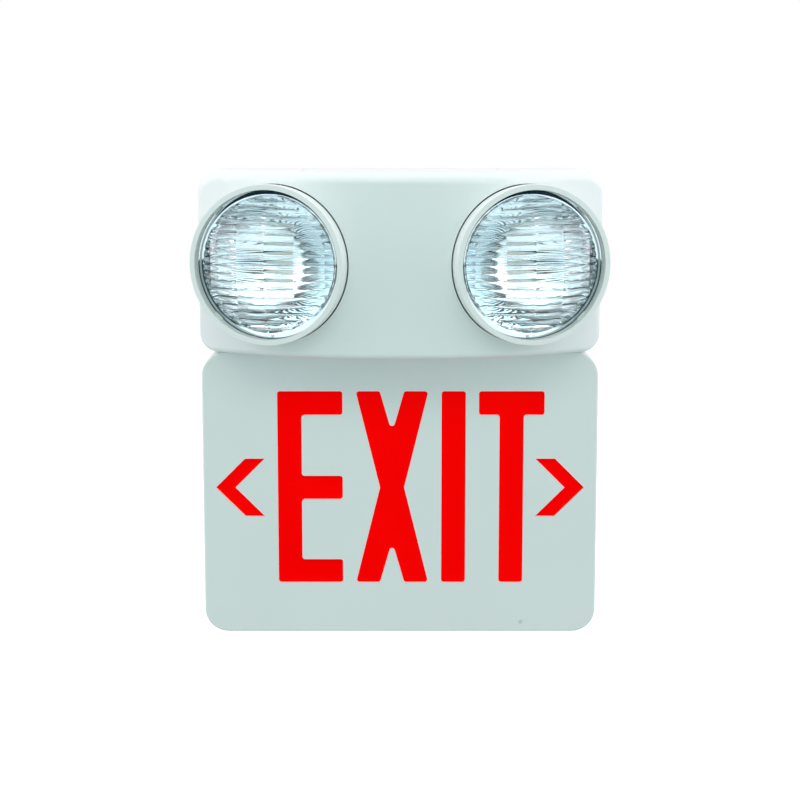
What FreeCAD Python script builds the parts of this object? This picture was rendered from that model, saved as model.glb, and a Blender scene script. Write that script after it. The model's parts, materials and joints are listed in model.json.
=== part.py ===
"""Emergency exit light: a stencil sign below, a bowed housing with two aimable lamp heads above.

X runs to the right, Y into the wall and Z up. The origin is the centre of the supply entry on
the back face, so everything in front of the wall has a negative Y. Depths are written as
positive distances from the wall. Each lamp head is drawn about its ball centre, with its own
Z along the beam, and its placement turns it outward.
"""
import FreeCAD, Part
import math
import os
import re
import Sketcher
from FreeCAD import Vector

SIZES = {
    # How far a cutting tool runs past the face that it opens
    "overshoot": 1,
    # Back plate, with locating rims that the two covers slip over
    "plate_thick": 2.5,
    "rim_play": 0.3,
    "rim_thick": 1.6,
    "rim_height": 5,
    "entry_radius": 11.1,
    "box_screw_spacing": 88.9,
    "box_slot_radius": 2.3,
    "keyhole_spread": 190,
    "keyhole_height": 24,
    "keyhole_head": 4.5,
    "keyhole_neck": 2.2,
    "keyhole_drop": 8,
    # Sign box
    "sign_width": 307.6,
    "sign_height": 222.9,
    "sign_depth": 32,
    "sign_wall": 2.5,
    "sign_corner": 18.5,
    "sign_edge": 1.6,
    "entry_to_seam": 37.5,
    "seam_gap": 0.5,
    # Letters and chevrons
    "letter_top": 6.9,
    "letter_height": 152.4,
    "stroke": 18.8,
    "word_left": 95.4,
    "letter_gap": 10.2,
    "letter_round": 2.2,
    "e_width": 50.7,
    "x_width": 56.6,
    "x_waist": 18.8,
    "x_crotch": 33.1,
    "t_width": 51,
    "chevron_rise": 23,
    "chevron_stroke": 15.4,
    # Upper cover: bowed front, round-cornered ends
    "cover_overhang": 1.2,
    "cover_height": 139.6,
    "cover_depth": 80,
    "bow_rise": 51.5,
    "cover_wall": 2.5,
    "cover_top_corner": 19.5,
    "cover_low_corner": 14,
    "cover_top_edge": 9,
    "cover_low_edge": 4.5,
    "tab_slot_spread": 42,
    "tab_slot_width": 7,
    "tab_slot_depth": 2.2,
    "tab_slot_inset": 9,
    "knockout_radius": 8,
    "knockout_groove": 0.8,
    "seam_spread": 148,
    "seam_line": 0.5,
    "seam_line_length": 48,
    "mark_depth": 0.5,
    "bridge_width": 200,
    "wire_gate_width": 30,
    "wire_gate_depth": 6,
    # Lamp heads
    "lamp_inset": 56,
    "lamp_rise": 70.5,
    "lamp_yaw": 15,
    "ball_radius": 60,
    "ball_wall": 2.4,
    "ball_rim": 5.5,
    "lip_land": 4,
    "dish_gap": 1,
    "dish_wall": 2.5,
    "seat_play": 0.35,
    "seat_radius": 20,
    "boss_radius": 13,
    "boss_height": 0.6,
    "tilt_range": 22,
    "slot_play": 1,
    "stud_radius": 6,
    "stud_bore": 3.6,
    "stud_play": 0.3,
    "stud_proud": 0.6,
    "stud_head_radius": 9,
    "stud_head_thick": 1.8,
    "cup_radius": 15.5,
    "cup_thick": 3.4,
    "cup_play": 0.3,
    "washer_radius": 10.5,
    "washer_thick": 1,
    "nut_flats": 17,
    "nut_thick": 3.2,
    "nut_clear": 0.98697,
    "ledge_width": 2.5,
    "ledge_thick": 1.6,
    "lens_play": 0.4,
    "lens_thick": 2.4,
    "lens_rise": 12,
    "lens_flange": 2,
    "lens_back": 4.3,
    "lens_border": 3.1,
    "field_step": 1.5,
    "field_wall": 2,
    "key_width": 5,
    "key_inset": 0.5,
    "flute_count": 17,
    "flute_pitch": 5.8,
    "flute_width": 5.3,
    "flute_depth": 0.7,
    "snap_count": 4,
    "snap_width": 8,
    "snap_height": 1.2,
    "snap_hold": 0.9,
    "snap_gap": 0.1,
    "window_depth": 1.2,
    "window_height": 4,
    "mirror_lip": 1.5,
    "mirror_lip_thick": 1.2,
    "mirror_wall": 1.2,
    "mirror_depth": 30,
    "mirror_neck": 9,
    "mirror_pad_radius": 19,
    "mirror_pad_thick": 2,
    "led_board_radius": 18,
    "led_board_thick": 1.6,
    "led_radius": 5,
    "led_height": 2.5,
    "led_round": 2,
    "sink_radius": 18,
    "sink_base": 2.5,
    "fin_height": 4.5,
    "fin_thick": 1.4,
    "fin_count": 6,
    "fin_pitch": 6,
    "small_screw_radius": 1.25,
    "small_screw_head": 2.1,
    "small_screw_length": 6,
    "small_screw_spread": 28,
    "small_head_thick": 1.4,
    # Light box behind the letters
    "tray_side_gap": 2.8,
    "tray_top": 20,
    "tray_low_gap": 5.6,
    "tray_wall": 1.5,
    "tray_floor": 9,
    "tray_screw_x": 240,
    "tray_screw_z": 110,
    "diffuser_thick": 1.5,
    "strip_gap": 15,
    "strip_width": 8,
    "strip_thick": 1.2,
    "strip_led_count": 12,
    "strip_led_width": 3.5,
    "strip_led_thick": 1.4,
    # Screws of the plate, and the bosses that take them
    "screw_radius": 1.75,
    "screw_head_radius": 3.2,
    "screw_head_thick": 2,
    "screw_play": 0.15,
    "tray_screw_short": 0.5,
    "boss_wall": 2.2,
    # Electronics in the middle of the upper housing
    "post_height": 6,
    "board_thick": 1.6,
    "board_width": 58,
    "board_height": 70,
    "board_rise": 62,
    "board_screw_inset": 4,
    "core_width": 34,
    "core_height": 28,
    "core_stack": 14,
    "core_limb": 6,
    "coil_wall": 4,
    "coil_play": 0.3,
    "part_gap": 4,
    "relay_width": 16,
    "relay_height": 15,
    "relay_depth": 16,
    "relay_inset": 3,
    "capacitor_radius": 5,
    "capacitor_length": 17,
    "capacitor_pitch": 13,
    "connector_width": 40,
    "connector_height": 8,
    "connector_depth": 9,
    "connector_inset": 2,
    "cell_count": 4,
    "cell_radius": 7.25,
    "cell_length": 50.5,
    "sleeve_round": 6.5,
    "cell_lift": 0.3,
    "battery_rise": 6,
    "strap_width": 12,
    "strap_thick": 1.5,
    "strap_foot": 9,
    "strap_play": 0.3,
    # Test switch and status lamp at the lower right of the sign
    "test_inset": 73.8,
    "test_depth": 14,
    "test_board_width": 38,
    "test_board_height": 19,
    "test_board_lift": 4.4,
    "test_board_reach": 8,
    "test_board_gap": 0.4,
    "test_screw_near": 10,
    "test_screw_far": 25,
    "test_screw_inset": 4,
    "switch_width": 9,
    "switch_height": 8,
    "switch_rise": 11.4,
    "nub_radius": 1.4,
    "nub_length": 1.2,
    "nub_gap": 0.1,
    "button_radius": 3.2,
    "button_play": 0.35,
    "button_out": 2,
    "button_edge": 0.8,
    "button_flange": 4.5,
    "button_flange_thick": 1,
    "button_stem": 1.9,
    "button_travel": 1.6,
    "button_seat": 0.3,
    "spring_radius": 3,
    "spring_wire": 0.5,
    "spring_turns": 4,
    "pilot_inset": 58.6,
    "pilot_rise": 7.9,
    "pilot_radius": 1.5,
    "pilot_flange": 2.6,
    "pilot_flange_thick": 1,
    "pilot_play": 0.1,
    "pilot_gap": 0.3,
    "pilot_proud": 0.4,
    "pilot_led_length": 6,
}

# Places worked out from the sizes
PLACES = {
    "sign_half": "sign_width / 2",
    "sign_top": "entry_to_seam",
    "sign_bottom": "entry_to_seam - sign_height",
    "sign_inside": "sign_depth - sign_wall",
    "cover_half": "sign_half + cover_overhang",
    "bow_radius": "(cover_half * cover_half + bow_rise * bow_rise) / (2 * bow_rise)",
    "cover_bottom": "entry_to_seam + seam_gap",
    "cover_top": "cover_bottom + cover_height",
    "cover_back": "plate_thick",
    "letter_middle": "letter_top - letter_height / 2",
    "letter_bottom": "letter_top - letter_height",
    "e_left": "-word_left",
    "x_left": "e_left + e_width + letter_gap",
    "i_left": "x_left + x_width + letter_gap",
    "t_left": "i_left + stroke + letter_gap",
    "chevron_reach": "(sign_half + word_left + chevron_rise + chevron_stroke) / 2",
    "lamp_x": "cover_half - lamp_inset",
    "lamp_z": "cover_bottom + lamp_rise",
    "dish_radius": "ball_radius + dish_gap",
    "shell_inside": "ball_radius - ball_wall",
    "boss_face": "dish_radius + dish_wall + boss_height",
    "nut_face": "boss_face + washer_thick + nut_thick",
    "nut_lean": "nut_face * cos(lamp_yaw * 1deg) + nut_flats / sqrt(3) * sin(lamp_yaw * 1deg)",
    "lamp_depth": "plate_thick + nut_clear + nut_lean",
    "cup_outside": "shell_inside - cup_play",
    "cup_face": "cup_outside - cup_thick",
    "lip_bore": "ball_radius - lip_land",
    "lens_radius": "lip_bore - lens_play",
    "field_radius": "lens_radius - lens_border",
    "mirror_top": "-lens_back",
    "lens_face": "mirror_top + lens_flange",
    "dome_base": "lens_face + field_step",
    "dome_radius": "(field_radius * field_radius + lens_rise * lens_rise) / (2 * lens_rise)",
    "dome_centre": "dome_base + lens_rise - dome_radius",
    "ledge_top": "mirror_top - mirror_lip_thick",
    "ledge_bottom": "ledge_top - ledge_thick",
    "mirror_mouth": "field_radius - mirror_lip",
    "mirror_bottom": "mirror_top - mirror_depth",
    "led_board_top": "mirror_bottom - mirror_pad_thick",
    "sink_top": "led_board_top - led_board_thick",
    "fin_top": "sink_top - sink_base",
    "tray_face": "sign_inside - diffuser_thick",
    "tray_back": "tray_floor - tray_wall",
    "tray_half": "sign_half - sign_wall - tray_side_gap",
    "floor_inside": "sign_bottom + sign_wall",
    "test_board_bottom": "floor_inside + rim_play + rim_thick + test_board_gap",
    "tray_bottom": "test_board_bottom + test_board_height + tray_low_gap",
    "tray_boss_low": "(tray_top + tray_bottom - tray_screw_z) / 2",
    "strip_depth": "(tray_floor + tray_face) / 2",
    "strip_half": "tray_half - tray_wall - strip_gap",
    "strip_led_pitch": "2 * strip_half / strip_led_count",
    "board_back": "plate_thick + post_height",
    "board_face": "board_back + board_thick",
    "board_bottom": "cover_bottom + board_rise",
    "board_top": "board_bottom + board_height",
    "core_bottom": "board_top - core_height - part_gap",
    "core_depth": "board_face + coil_wall",
    "relay_bottom": "board_bottom + connector_height + part_gap",
    "cell_depth": "plate_thick + cell_lift + cell_radius",
    "battery_bottom": "cover_bottom + cover_wall + battery_rise",
    "battery_half": "cell_count * cell_radius",
    "strap_bottom": "battery_bottom + (cell_length - strap_width) / 2",
    "strap_inside": "cell_depth + cell_radius + strap_play",
    "strap_reach": "battery_half + strap_play + strap_thick",
    "test_board_back": "plate_thick + test_board_lift",
    "test_board_face": "test_board_back + board_thick",
    "test_x": "sign_half - test_inset",
    "pilot_x": "sign_half - pilot_inset",
    "switch_bottom": "sign_bottom + switch_rise",
    "flange_bottom": "floor_inside + button_seat",
    "flange_top": "flange_bottom + button_flange_thick",
    "pilot_z": "sign_bottom + pilot_rise",
}

DOC = FreeCAD.newDocument("ExitLight")
NODES = []


def fill_sheet(name, cells):
    """A spreadsheet with one aliased cell for each entry."""
    sheet = DOC.addObject("Spreadsheet::Sheet", name)
    for row, (alias, content) in enumerate(cells.items(), 1):
        sheet.set(f"A{row}", alias)
        sheet.setAlias(f"B{row}", alias)
        sheet.set(f"B{row}", str(content))
    DOC.recompute()
    return sheet


ALIAS = re.compile(r"\b[a-z][a-z_0-9]*\b")


def linked(text):
    """The same expression with each alias written as a reference to its sheet."""
    def reference(match):
        word = match.group(0)
        if word in SIZES:
            return "Sizes." + word
        if word in PLACES:
            return "Places." + word
        return word
    return ALIAS.sub(reference, str(text))


SHEET = fill_sheet("Sizes", SIZES)
fill_sheet("Places", {alias: "=" + linked(text) for alias, text in PLACES.items()})


def value(text):
    """The number that an expression on the sheets has now."""
    return float(SHEET.evalExpression(linked(text)))


# ---------------------------------------------------------------- drawing helpers

def plane_of(body, role):
    return next(item for item in body.Origin.OriginFeatures if item.Role == role)


def new_body(name):
    return DOC.addObject("PartDesign::Body", name)


def new_sketch(body, plane, offset="0"):
    """A sketch on one of the body's own origin planes. On XZ the offset is a depth."""
    sketch = body.newObject("Sketcher::SketchObject", body.Name + "_sketch")
    sketch.AttachmentSupport = [(plane_of(body, plane + "_Plane"), "")]
    sketch.MapMode = "FlatFace"
    sketch.setExpression("AttachmentOffset.Base.z", linked(offset))
    return sketch


def constrain(sketch, kind, *target, size=None):
    """One constraint, bound to the sheets where it has a size."""
    if size is None:
        sketch.addConstraint(Sketcher.Constraint(kind, *target))
        return
    number = sketch.addConstraint(Sketcher.Constraint(kind, *target, value(size)))
    sketch.setExpression(f"Constraints[{number}]", linked(size))


def pin_point(sketch, edge, end, across, up):
    constrain(sketch, "DistanceX", -1, 1, edge, end, size=across)
    constrain(sketch, "DistanceY", -1, 1, edge, end, size=up)


def polygon(sketch, points):
    """A closed outline of straight sides through points given as expressions."""
    first = sketch.GeometryCount
    places = [Vector(value(across), value(up), 0) for across, up in points]
    for start, end in zip(places, places[1:] + places[:1]):
        sketch.addGeometry(Part.LineSegment(start, end), False)
    for number, (across, up) in enumerate(points):
        before = first + (number - 1) % len(points)
        constrain(sketch, "Coincident", before, 2, first + number, 1)
        pin_point(sketch, first + number, 1, across, up)


def rectangle(sketch, left, right, bottom, top):
    polygon(sketch, [(left, bottom), (right, bottom), (right, top), (left, top)])


def circle(sketch, across, up, radius):
    number = sketch.GeometryCount
    centre = Vector(value(across), value(up), 0)
    sketch.addGeometry(Part.Circle(centre, Vector(0, 0, 1), value(radius)), False)
    pin_point(sketch, number, 3, across, up)
    constrain(sketch, "Radius", number, size=radius)


def rounded_rectangle(sketch, half_width, bottom, top, radius, low_radius=None):
    """A rectangle about the sketch's vertical axis, with one corner radius or two."""
    low_radius = low_radius or radius
    side, low, high = (value(text) for text in (half_width, bottom, top))
    corners = [(side, low, low_radius), (side, high, radius), (-side, high, radius), (-side, low, low_radius)]
    first = sketch.GeometryCount
    for number, (across, up, size) in enumerate(corners):
        bend = value(size)
        inward = Vector(math.copysign(bend, -across), bend if up == low else -bend, 0)
        centre = Vector(across, up, 0) + inward
        start = math.radians(270 + 90 * number)
        ring = Part.Circle(centre, Vector(0, 0, 1), bend)
        sketch.addGeometry(Part.ArcOfCircle(ring, start, start + math.pi / 2), False)
    arcs = sketch.Geometry[first:]
    for number in range(4):
        start = arcs[number].EndPoint
        end = arcs[(number + 1) % 4].StartPoint
        sketch.addGeometry(Part.LineSegment(start, end), False)
    for number in range(4):
        line = first + 4 + number
        constrain(sketch, "Tangent", first + number, 2, line, 1)
        constrain(sketch, "Tangent", line, 2, first + (number + 1) % 4, 1)
        constrain(sketch, "Horizontal" if number % 2 else "Vertical", line)
    constrain(sketch, "Equal", first, first + 3)
    constrain(sketch, "Equal", first + 1, first + 2)
    constrain(sketch, "Radius", first, size=low_radius)
    constrain(sketch, "Radius", first + 1, size=radius)
    constrain(sketch, "DistanceX", -1, 1, first + 4, 1, size=half_width)
    constrain(sketch, "DistanceX", -1, 1, first + 6, 1, size=f"-({half_width})")
    constrain(sketch, "DistanceY", -1, 1, first + 5, 1, size=top)
    constrain(sketch, "DistanceY", -1, 1, first + 7, 1, size=bottom)


def pad(body, sketch, length, **settings):
    feature = body.newObject("PartDesign::Pad", body.Name + "_pad")
    feature.Profile = sketch
    feature.setExpression("Length", linked(length))
    for name, setting in settings.items():
        setattr(feature, name, setting)
    DOC.recompute()
    return feature


def pocket(body, sketch, depth=None):
    """A cut to a depth, or right through where none is given."""
    before = body.Tip.Shape.Volume
    feature = body.newObject("PartDesign::Pocket", body.Name + "_pocket")
    feature.Profile = sketch
    if depth is None:
        feature.Type = "ThroughAll"
    else:
        feature.setExpression("Length", linked(depth))
    DOC.recompute()
    if not feature.Shape.Volume < before:
        raise ValueError(feature.Name + " cuts nothing")
    return feature


def revolve(body, sketch):
    """A full turn about the sketch's vertical axis."""
    feature = body.newObject("PartDesign::Revolution", body.Name + "_turn")
    feature.Profile = sketch
    feature.ReferenceAxis = (sketch, ["V_Axis"])
    DOC.recompute()
    return feature


def fillet(body, radius, test):
    """Round the edges of the body so far that pass the test."""
    base = body.Tip
    names = [f"Edge{number}" for number, edge in enumerate(base.Shape.Edges, 1) if test(edge)]
    feature = body.newObject("PartDesign::Fillet", body.Name + "_round")
    feature.Base = (base, names)
    feature.setExpression("Radius", linked(radius))
    DOC.recompute()
    return feature


def runs_along(edge, axis):
    return isinstance(edge.Curve, Part.Line) and abs(edge.Curve.Direction.dot(axis)) > 0.999


def shape_of(kind, name, place=None, **sizes):
    """A Part primitive with its sizes and placement bound to the sheets."""
    thing = DOC.addObject("Part::" + kind, name)
    for property_name, size in sizes.items():
        thing.setExpression(property_name, linked(size))
    if place:
        thing.setExpression("Placement", linked(place))
    return thing


def cut(name, base, tool):
    thing = DOC.addObject("Part::Cut", name)
    thing.Base = base
    thing.Tool = tool
    return thing


def fuse(name, *things):
    thing = DOC.addObject("Part::MultiFuse", name)
    thing.Shapes = list(things)
    thing.Refine = True
    return thing


def common(name, *things):
    thing = DOC.addObject("Part::MultiCommon", name)
    thing.Shapes = list(things)
    return thing


def group(name, things):
    """Alike separate solids that share one node."""
    thing = DOC.addObject("Part::Compound", name)
    thing.Links = list(things)
    return thing


def at(across, depth, up, turn="0; 0; 0"):
    """A placement from a place across, a depth from the wall and a height."""
    return f"placement(vector({across}; -({depth}); {up}); rotation({turn}))"


def along_beam(side, distance="0"):
    """The placement of a lamp's own frame, moved along its beam."""
    ball = at(f"{side} * lamp_x", "lamp_depth", "lamp_z", f"{side} * lamp_yaw; 0; 90")
    return f"{ball} * placement(vector(0; 0; {distance}); rotation(0; 0; 0))"


FORWARD = "0; 0; 90"


def node(name, thing):
    """Name a finished piece, so that it is written to a file of its own."""
    thing.Label = name
    NODES.append(thing)
    return thing


# ---------------------------------------------------------------- back plate

BOARD_SCREWS = [
    (f"{side} * (board_width / 2 - board_screw_inset)", height)
    for side in (-1, 1)
    for height in ("board_bottom + board_screw_inset", "board_top - board_screw_inset")
]
TRAY_SCREWS = [
    (f"{side} * tray_screw_x / 2", height)
    for side in (-1, 1)
    for height in ("tray_boss_low", "tray_boss_low + tray_screw_z")
]
STRAP_SCREWS = [
    (f"{side} * (strap_reach + strap_foot / 2)", "strap_bottom + strap_width / 2")
    for side in (-1, 1)
]
TEST_SCREWS = [
    (f"test_x + {shift}", "test_board_bottom + test_board_height - test_screw_inset")
    for shift in ("test_screw_near", "test_screw_far")
]


def make_back_plate():
    """Flat moulding with both outlines, joined by a bridge, and everything that stands on it."""
    body = new_body("back_plate")
    sketch = new_sketch(body, "XZ")
    rounded_rectangle(sketch, "sign_half", "sign_bottom", "sign_top", "sign_corner")
    pad(body, sketch, "plate_thick")
    sketch = new_sketch(body, "XZ")
    rectangle(sketch, "-bridge_width / 2", "bridge_width / 2", "sign_top - seam_gap",
              "cover_bottom + seam_gap")
    pad(body, sketch, "plate_thick")
    sketch = new_sketch(body, "XZ")
    rounded_rectangle(sketch, "cover_half", "cover_bottom", "cover_top", "cover_top_corner",
                      "cover_low_corner")
    pad(body, sketch, "plate_thick")

    # Rims that locate the sign and the cover
    inset = "(sign_wall + rim_play)"
    sketch = new_sketch(body, "XZ", "plate_thick")
    for step in (inset, "(sign_wall + rim_play + rim_thick)"):
        rounded_rectangle(sketch, f"sign_half - {step}", f"sign_bottom + {step}",
                          f"sign_top - {step}", f"sign_corner - {step}")
    pad(body, sketch, "rim_height")
    sketch = new_sketch(body, "XZ", "plate_thick")
    for step in ("(cover_wall + rim_play)", "(cover_wall + rim_play + rim_thick)"):
        rounded_rectangle(sketch, f"cover_half - {step}", f"cover_bottom + {step}",
                          f"cover_top - {step}", f"cover_top_corner - {step}")
    pad(body, sketch, "rim_height")

    # Bosses for the boards, the light tray and the battery strap
    for places, height in ((BOARD_SCREWS, "post_height"), (TRAY_SCREWS, "tray_back - plate_thick"),
                           (TEST_SCREWS, "test_board_lift")):
        sketch = new_sketch(body, "XZ", "plate_thick")
        for across, up in places:
            circle(sketch, across, up, "screw_radius + screw_play + boss_wall")
        pad(body, sketch, height)

    # Screw holes, the supply entry, slots for an outlet box and keyholes for a bare wall
    for places, height in ((BOARD_SCREWS, "board_back"), (TRAY_SCREWS, "tray_back"),
                           (TEST_SCREWS, "test_board_back"), (STRAP_SCREWS, "plate_thick")):
        sketch = new_sketch(body, "XZ", height)
        for across, up in places:
            circle(sketch, across, up, "screw_radius + screw_play")
        pocket(body, sketch)
    sketch = new_sketch(body, "XZ", "plate_thick")
    circle(sketch, "0", "0", "entry_radius")
    for side in (-1, 1):
        circle(sketch, f"{side} * box_screw_spacing / 2", "0", "box_slot_radius")
    pocket(body, sketch)
    sketch = new_sketch(body, "XZ", "plate_thick")
    for side in (-1, 1):
        circle(sketch, f"{side} * keyhole_spread / 2", "keyhole_height - keyhole_drop", "keyhole_head")
    pocket(body, sketch)
    sketch = new_sketch(body, "XZ", "plate_thick")
    for side in (-1, 1):
        centre = f"{side} * keyhole_spread / 2"
        rectangle(sketch, f"{centre} - keyhole_neck", f"{centre} + keyhole_neck",
                  "keyhole_height - keyhole_drop", "keyhole_height")
    pocket(body, sketch)
    sketch = new_sketch(body, "XZ", "plate_thick + rim_height")
    rectangle(sketch, "-wire_gate_width / 2", "wire_gate_width / 2",
              "sign_top - sign_wall - rim_play - rim_thick - overshoot",
              "cover_bottom + cover_wall + rim_play + rim_thick + overshoot")
    pocket(body, sketch, "rim_height")
    return node("back_plate", body)


# ---------------------------------------------------------------- sign

def letter_outlines():
    """The four letters as outlines of points, left to right."""
    top, low, middle = "letter_top", "letter_bottom", "letter_middle"
    e_stem, e_right = "e_left + stroke", "e_left + e_width"
    letter_e = [("e_left", low), (e_right, low), (e_right, low + " + stroke"), (e_stem, low + " + stroke"),
                (e_stem, middle + " - stroke / 2"), (e_right, middle + " - stroke / 2"),
                (e_right, middle + " + stroke / 2"), (e_stem, middle + " + stroke / 2"),
                (e_stem, top + " - stroke"), (e_right, top + " - stroke"), (e_right, top), ("e_left", top)]
    x_middle = "(x_left + x_width / 2)"
    quarter = [("x_width / 2", low), ("x_waist / 2", middle), ("x_width / 2", top),
               ("(x_width / 2 - stroke)", top)]
    right = [(f"{x_middle} + {out}", up) for out, up in quarter]
    left = [(f"{x_middle} - {out}", up) for out, up in reversed(quarter)]
    letter_x = [(f"{x_middle} + x_width / 2 - stroke", low)] + right
    letter_x += [(x_middle, top + " - x_crotch")] + left
    letter_x += [(f"{x_middle} - (x_width / 2 - stroke)", low), (x_middle, low + " + x_crotch")]
    i_right = "i_left + stroke"
    letter_i = [("i_left", low), (i_right, low), (i_right, top), ("i_left", top)]
    stem = "(t_left + (t_width - stroke) / 2)"
    t_right = "t_left + t_width"
    letter_t = [(stem, low), (stem + " + stroke", low), (stem + " + stroke", top + " - stroke"),
                (t_right, top + " - stroke"), (t_right, top), ("t_left", top),
                ("t_left", top + " - stroke"), (stem, top + " - stroke")]
    return [letter_e, letter_x, letter_i, letter_t]


def make_sign_face():
    """Open-backed tray whose front is the stencil."""
    body = new_body("sign_face")
    sketch = new_sketch(body, "XZ", "plate_thick")
    rounded_rectangle(sketch, "sign_half", "sign_bottom", "sign_top", "sign_corner")
    pad(body, sketch, "sign_depth - plate_thick")
    front = -value("sign_depth")
    fillet(body, "sign_edge", lambda edge: edge.BoundBox.YMax < front + 0.01)
    sketch = new_sketch(body, "XZ", "sign_inside")
    rounded_rectangle(sketch, "sign_half - sign_wall", "sign_bottom + sign_wall",
                      "sign_top - sign_wall", "sign_corner - sign_wall")
    pocket(body, sketch)

    sketch = new_sketch(body, "XZ", "sign_depth")
    for outline in letter_outlines():
        polygon(sketch, outline)
    pocket(body, sketch)
    right_end = value("t_left + t_width") + 1
    low, high = value("letter_bottom") - 1, value("letter_top") + 1
    fillet(body, "letter_round", lambda edge: runs_along(edge, Vector(0, 1, 0))
           and low < edge.CenterOfMass.z < high and abs(edge.CenterOfMass.x) < right_end)
    sketch = new_sketch(body, "XZ", "sign_depth")
    for side in (-1, 1):
        profile = [("chevron_reach", "0"), ("chevron_reach - chevron_rise", "chevron_rise"),
                   ("chevron_reach - chevron_rise - chevron_stroke", "chevron_rise"),
                   ("chevron_reach - chevron_stroke", "0"),
                   ("chevron_reach - chevron_rise - chevron_stroke", "-chevron_rise"),
                   ("chevron_reach - chevron_rise", "-chevron_rise")]
        polygon(sketch, [(f"{side} * ({out})", f"letter_middle + {up}") for out, up in profile])
    circle(sketch, "pilot_x", "pilot_z", "pilot_radius + pilot_play")
    pocket(body, sketch)

    # Button hole in the floor and wire gate in the top
    sketch = new_sketch(body, "XY", "floor_inside")
    circle(sketch, "test_x", "-test_depth", "button_radius + button_play")
    pocket(body, sketch)
    sketch = new_sketch(body, "XY", "sign_top")
    rectangle(sketch, "-wire_gate_width / 2", "wire_gate_width / 2",
              "-plate_thick - wire_gate_depth", "-plate_thick")
    pocket(body, sketch, "sign_wall")
    return node("sign_face", body)


# ---------------------------------------------------------------- upper cover

def cover_form(name, inset):
    """The bowed block with its corners rounded, smaller by the inset on every outside face."""
    body = new_body(name)
    sketch = new_sketch(body, "XY", f"cover_bottom + {inset}")
    half, radius = f"cover_half - {inset}", f"bow_radius - {inset}"
    centre_y = "bow_radius - cover_depth"
    side, bow, middle = value(half), value(radius), value(centre_y)
    back = -value(f"cover_back - {inset}")
    end = middle - math.sqrt(bow * bow - side * side)
    corners = [Vector(-side, end, 0), Vector(-side, back, 0), Vector(side, back, 0), Vector(side, end, 0)]
    for start, finish in zip(corners, corners[1:]):
        sketch.addGeometry(Part.LineSegment(start, finish), False)
    ring = Part.Circle(Vector(0, middle, 0), Vector(0, 0, 1), bow)
    first_angle = math.atan2(end - middle, -side)
    last_angle = math.atan2(end - middle, side)
    sketch.addGeometry(Part.ArcOfCircle(ring, first_angle, last_angle), False)
    for number in (0, 1):
        constrain(sketch, "Coincident", number, 2, number + 1, 1)
    constrain(sketch, "Coincident", 3, 1, 0, 1)
    constrain(sketch, "Coincident", 3, 2, 2, 2)
    for number in (0, 2):
        constrain(sketch, "Vertical", number)
    pin_point(sketch, 1, 1, f"-({half})", f"-(cover_back - {inset})")
    pin_point(sketch, 1, 2, half, f"-(cover_back - {inset})")
    constrain(sketch, "PointOnObject", 3, 3, -2)
    constrain(sketch, "Radius", 3, size=radius)
    constrain(sketch, "DistanceY", -1, 1, 3, 3, size=centre_y)
    pad(body, sketch, f"cover_height - 2 * {inset}")
    waist = value("cover_bottom + cover_height / 2")
    wall_edge = Vector(0, 1, 0)
    fillet(body, f"cover_top_corner - {inset}",
           lambda edge: runs_along(edge, wall_edge) and edge.CenterOfMass.z > waist)
    low = value(f"cover_bottom + {inset}") + 0.01
    fillet(body, f"cover_low_corner - {inset}",
           lambda edge: runs_along(edge, wall_edge) and edge.CenterOfMass.z < low)

    # The front edge is rounder along the top than along the bottom
    rounded = DOC.addObject("Part::Fillet", name + "_form")
    rounded.Base = body
    shoulder = value("cover_top - cover_top_corner") - 0.1
    wide, tight = value(f"cover_top_edge - {inset}"), value(f"cover_low_edge - {inset}")
    edges = []
    for number, edge in enumerate(body.Shape.Edges, 1):
        if edge.BoundBox.YMax < back - 0.1 and not runs_along(edge, wall_edge):
            ends = (edge.valueAt(edge.FirstParameter), edge.valueAt(edge.LastParameter))
            radii = [wide if point.z > shoulder else tight for point in ends]
            edges.append((number, *radii))
    rounded.Edges = edges
    DOC.recompute()
    return rounded


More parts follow.
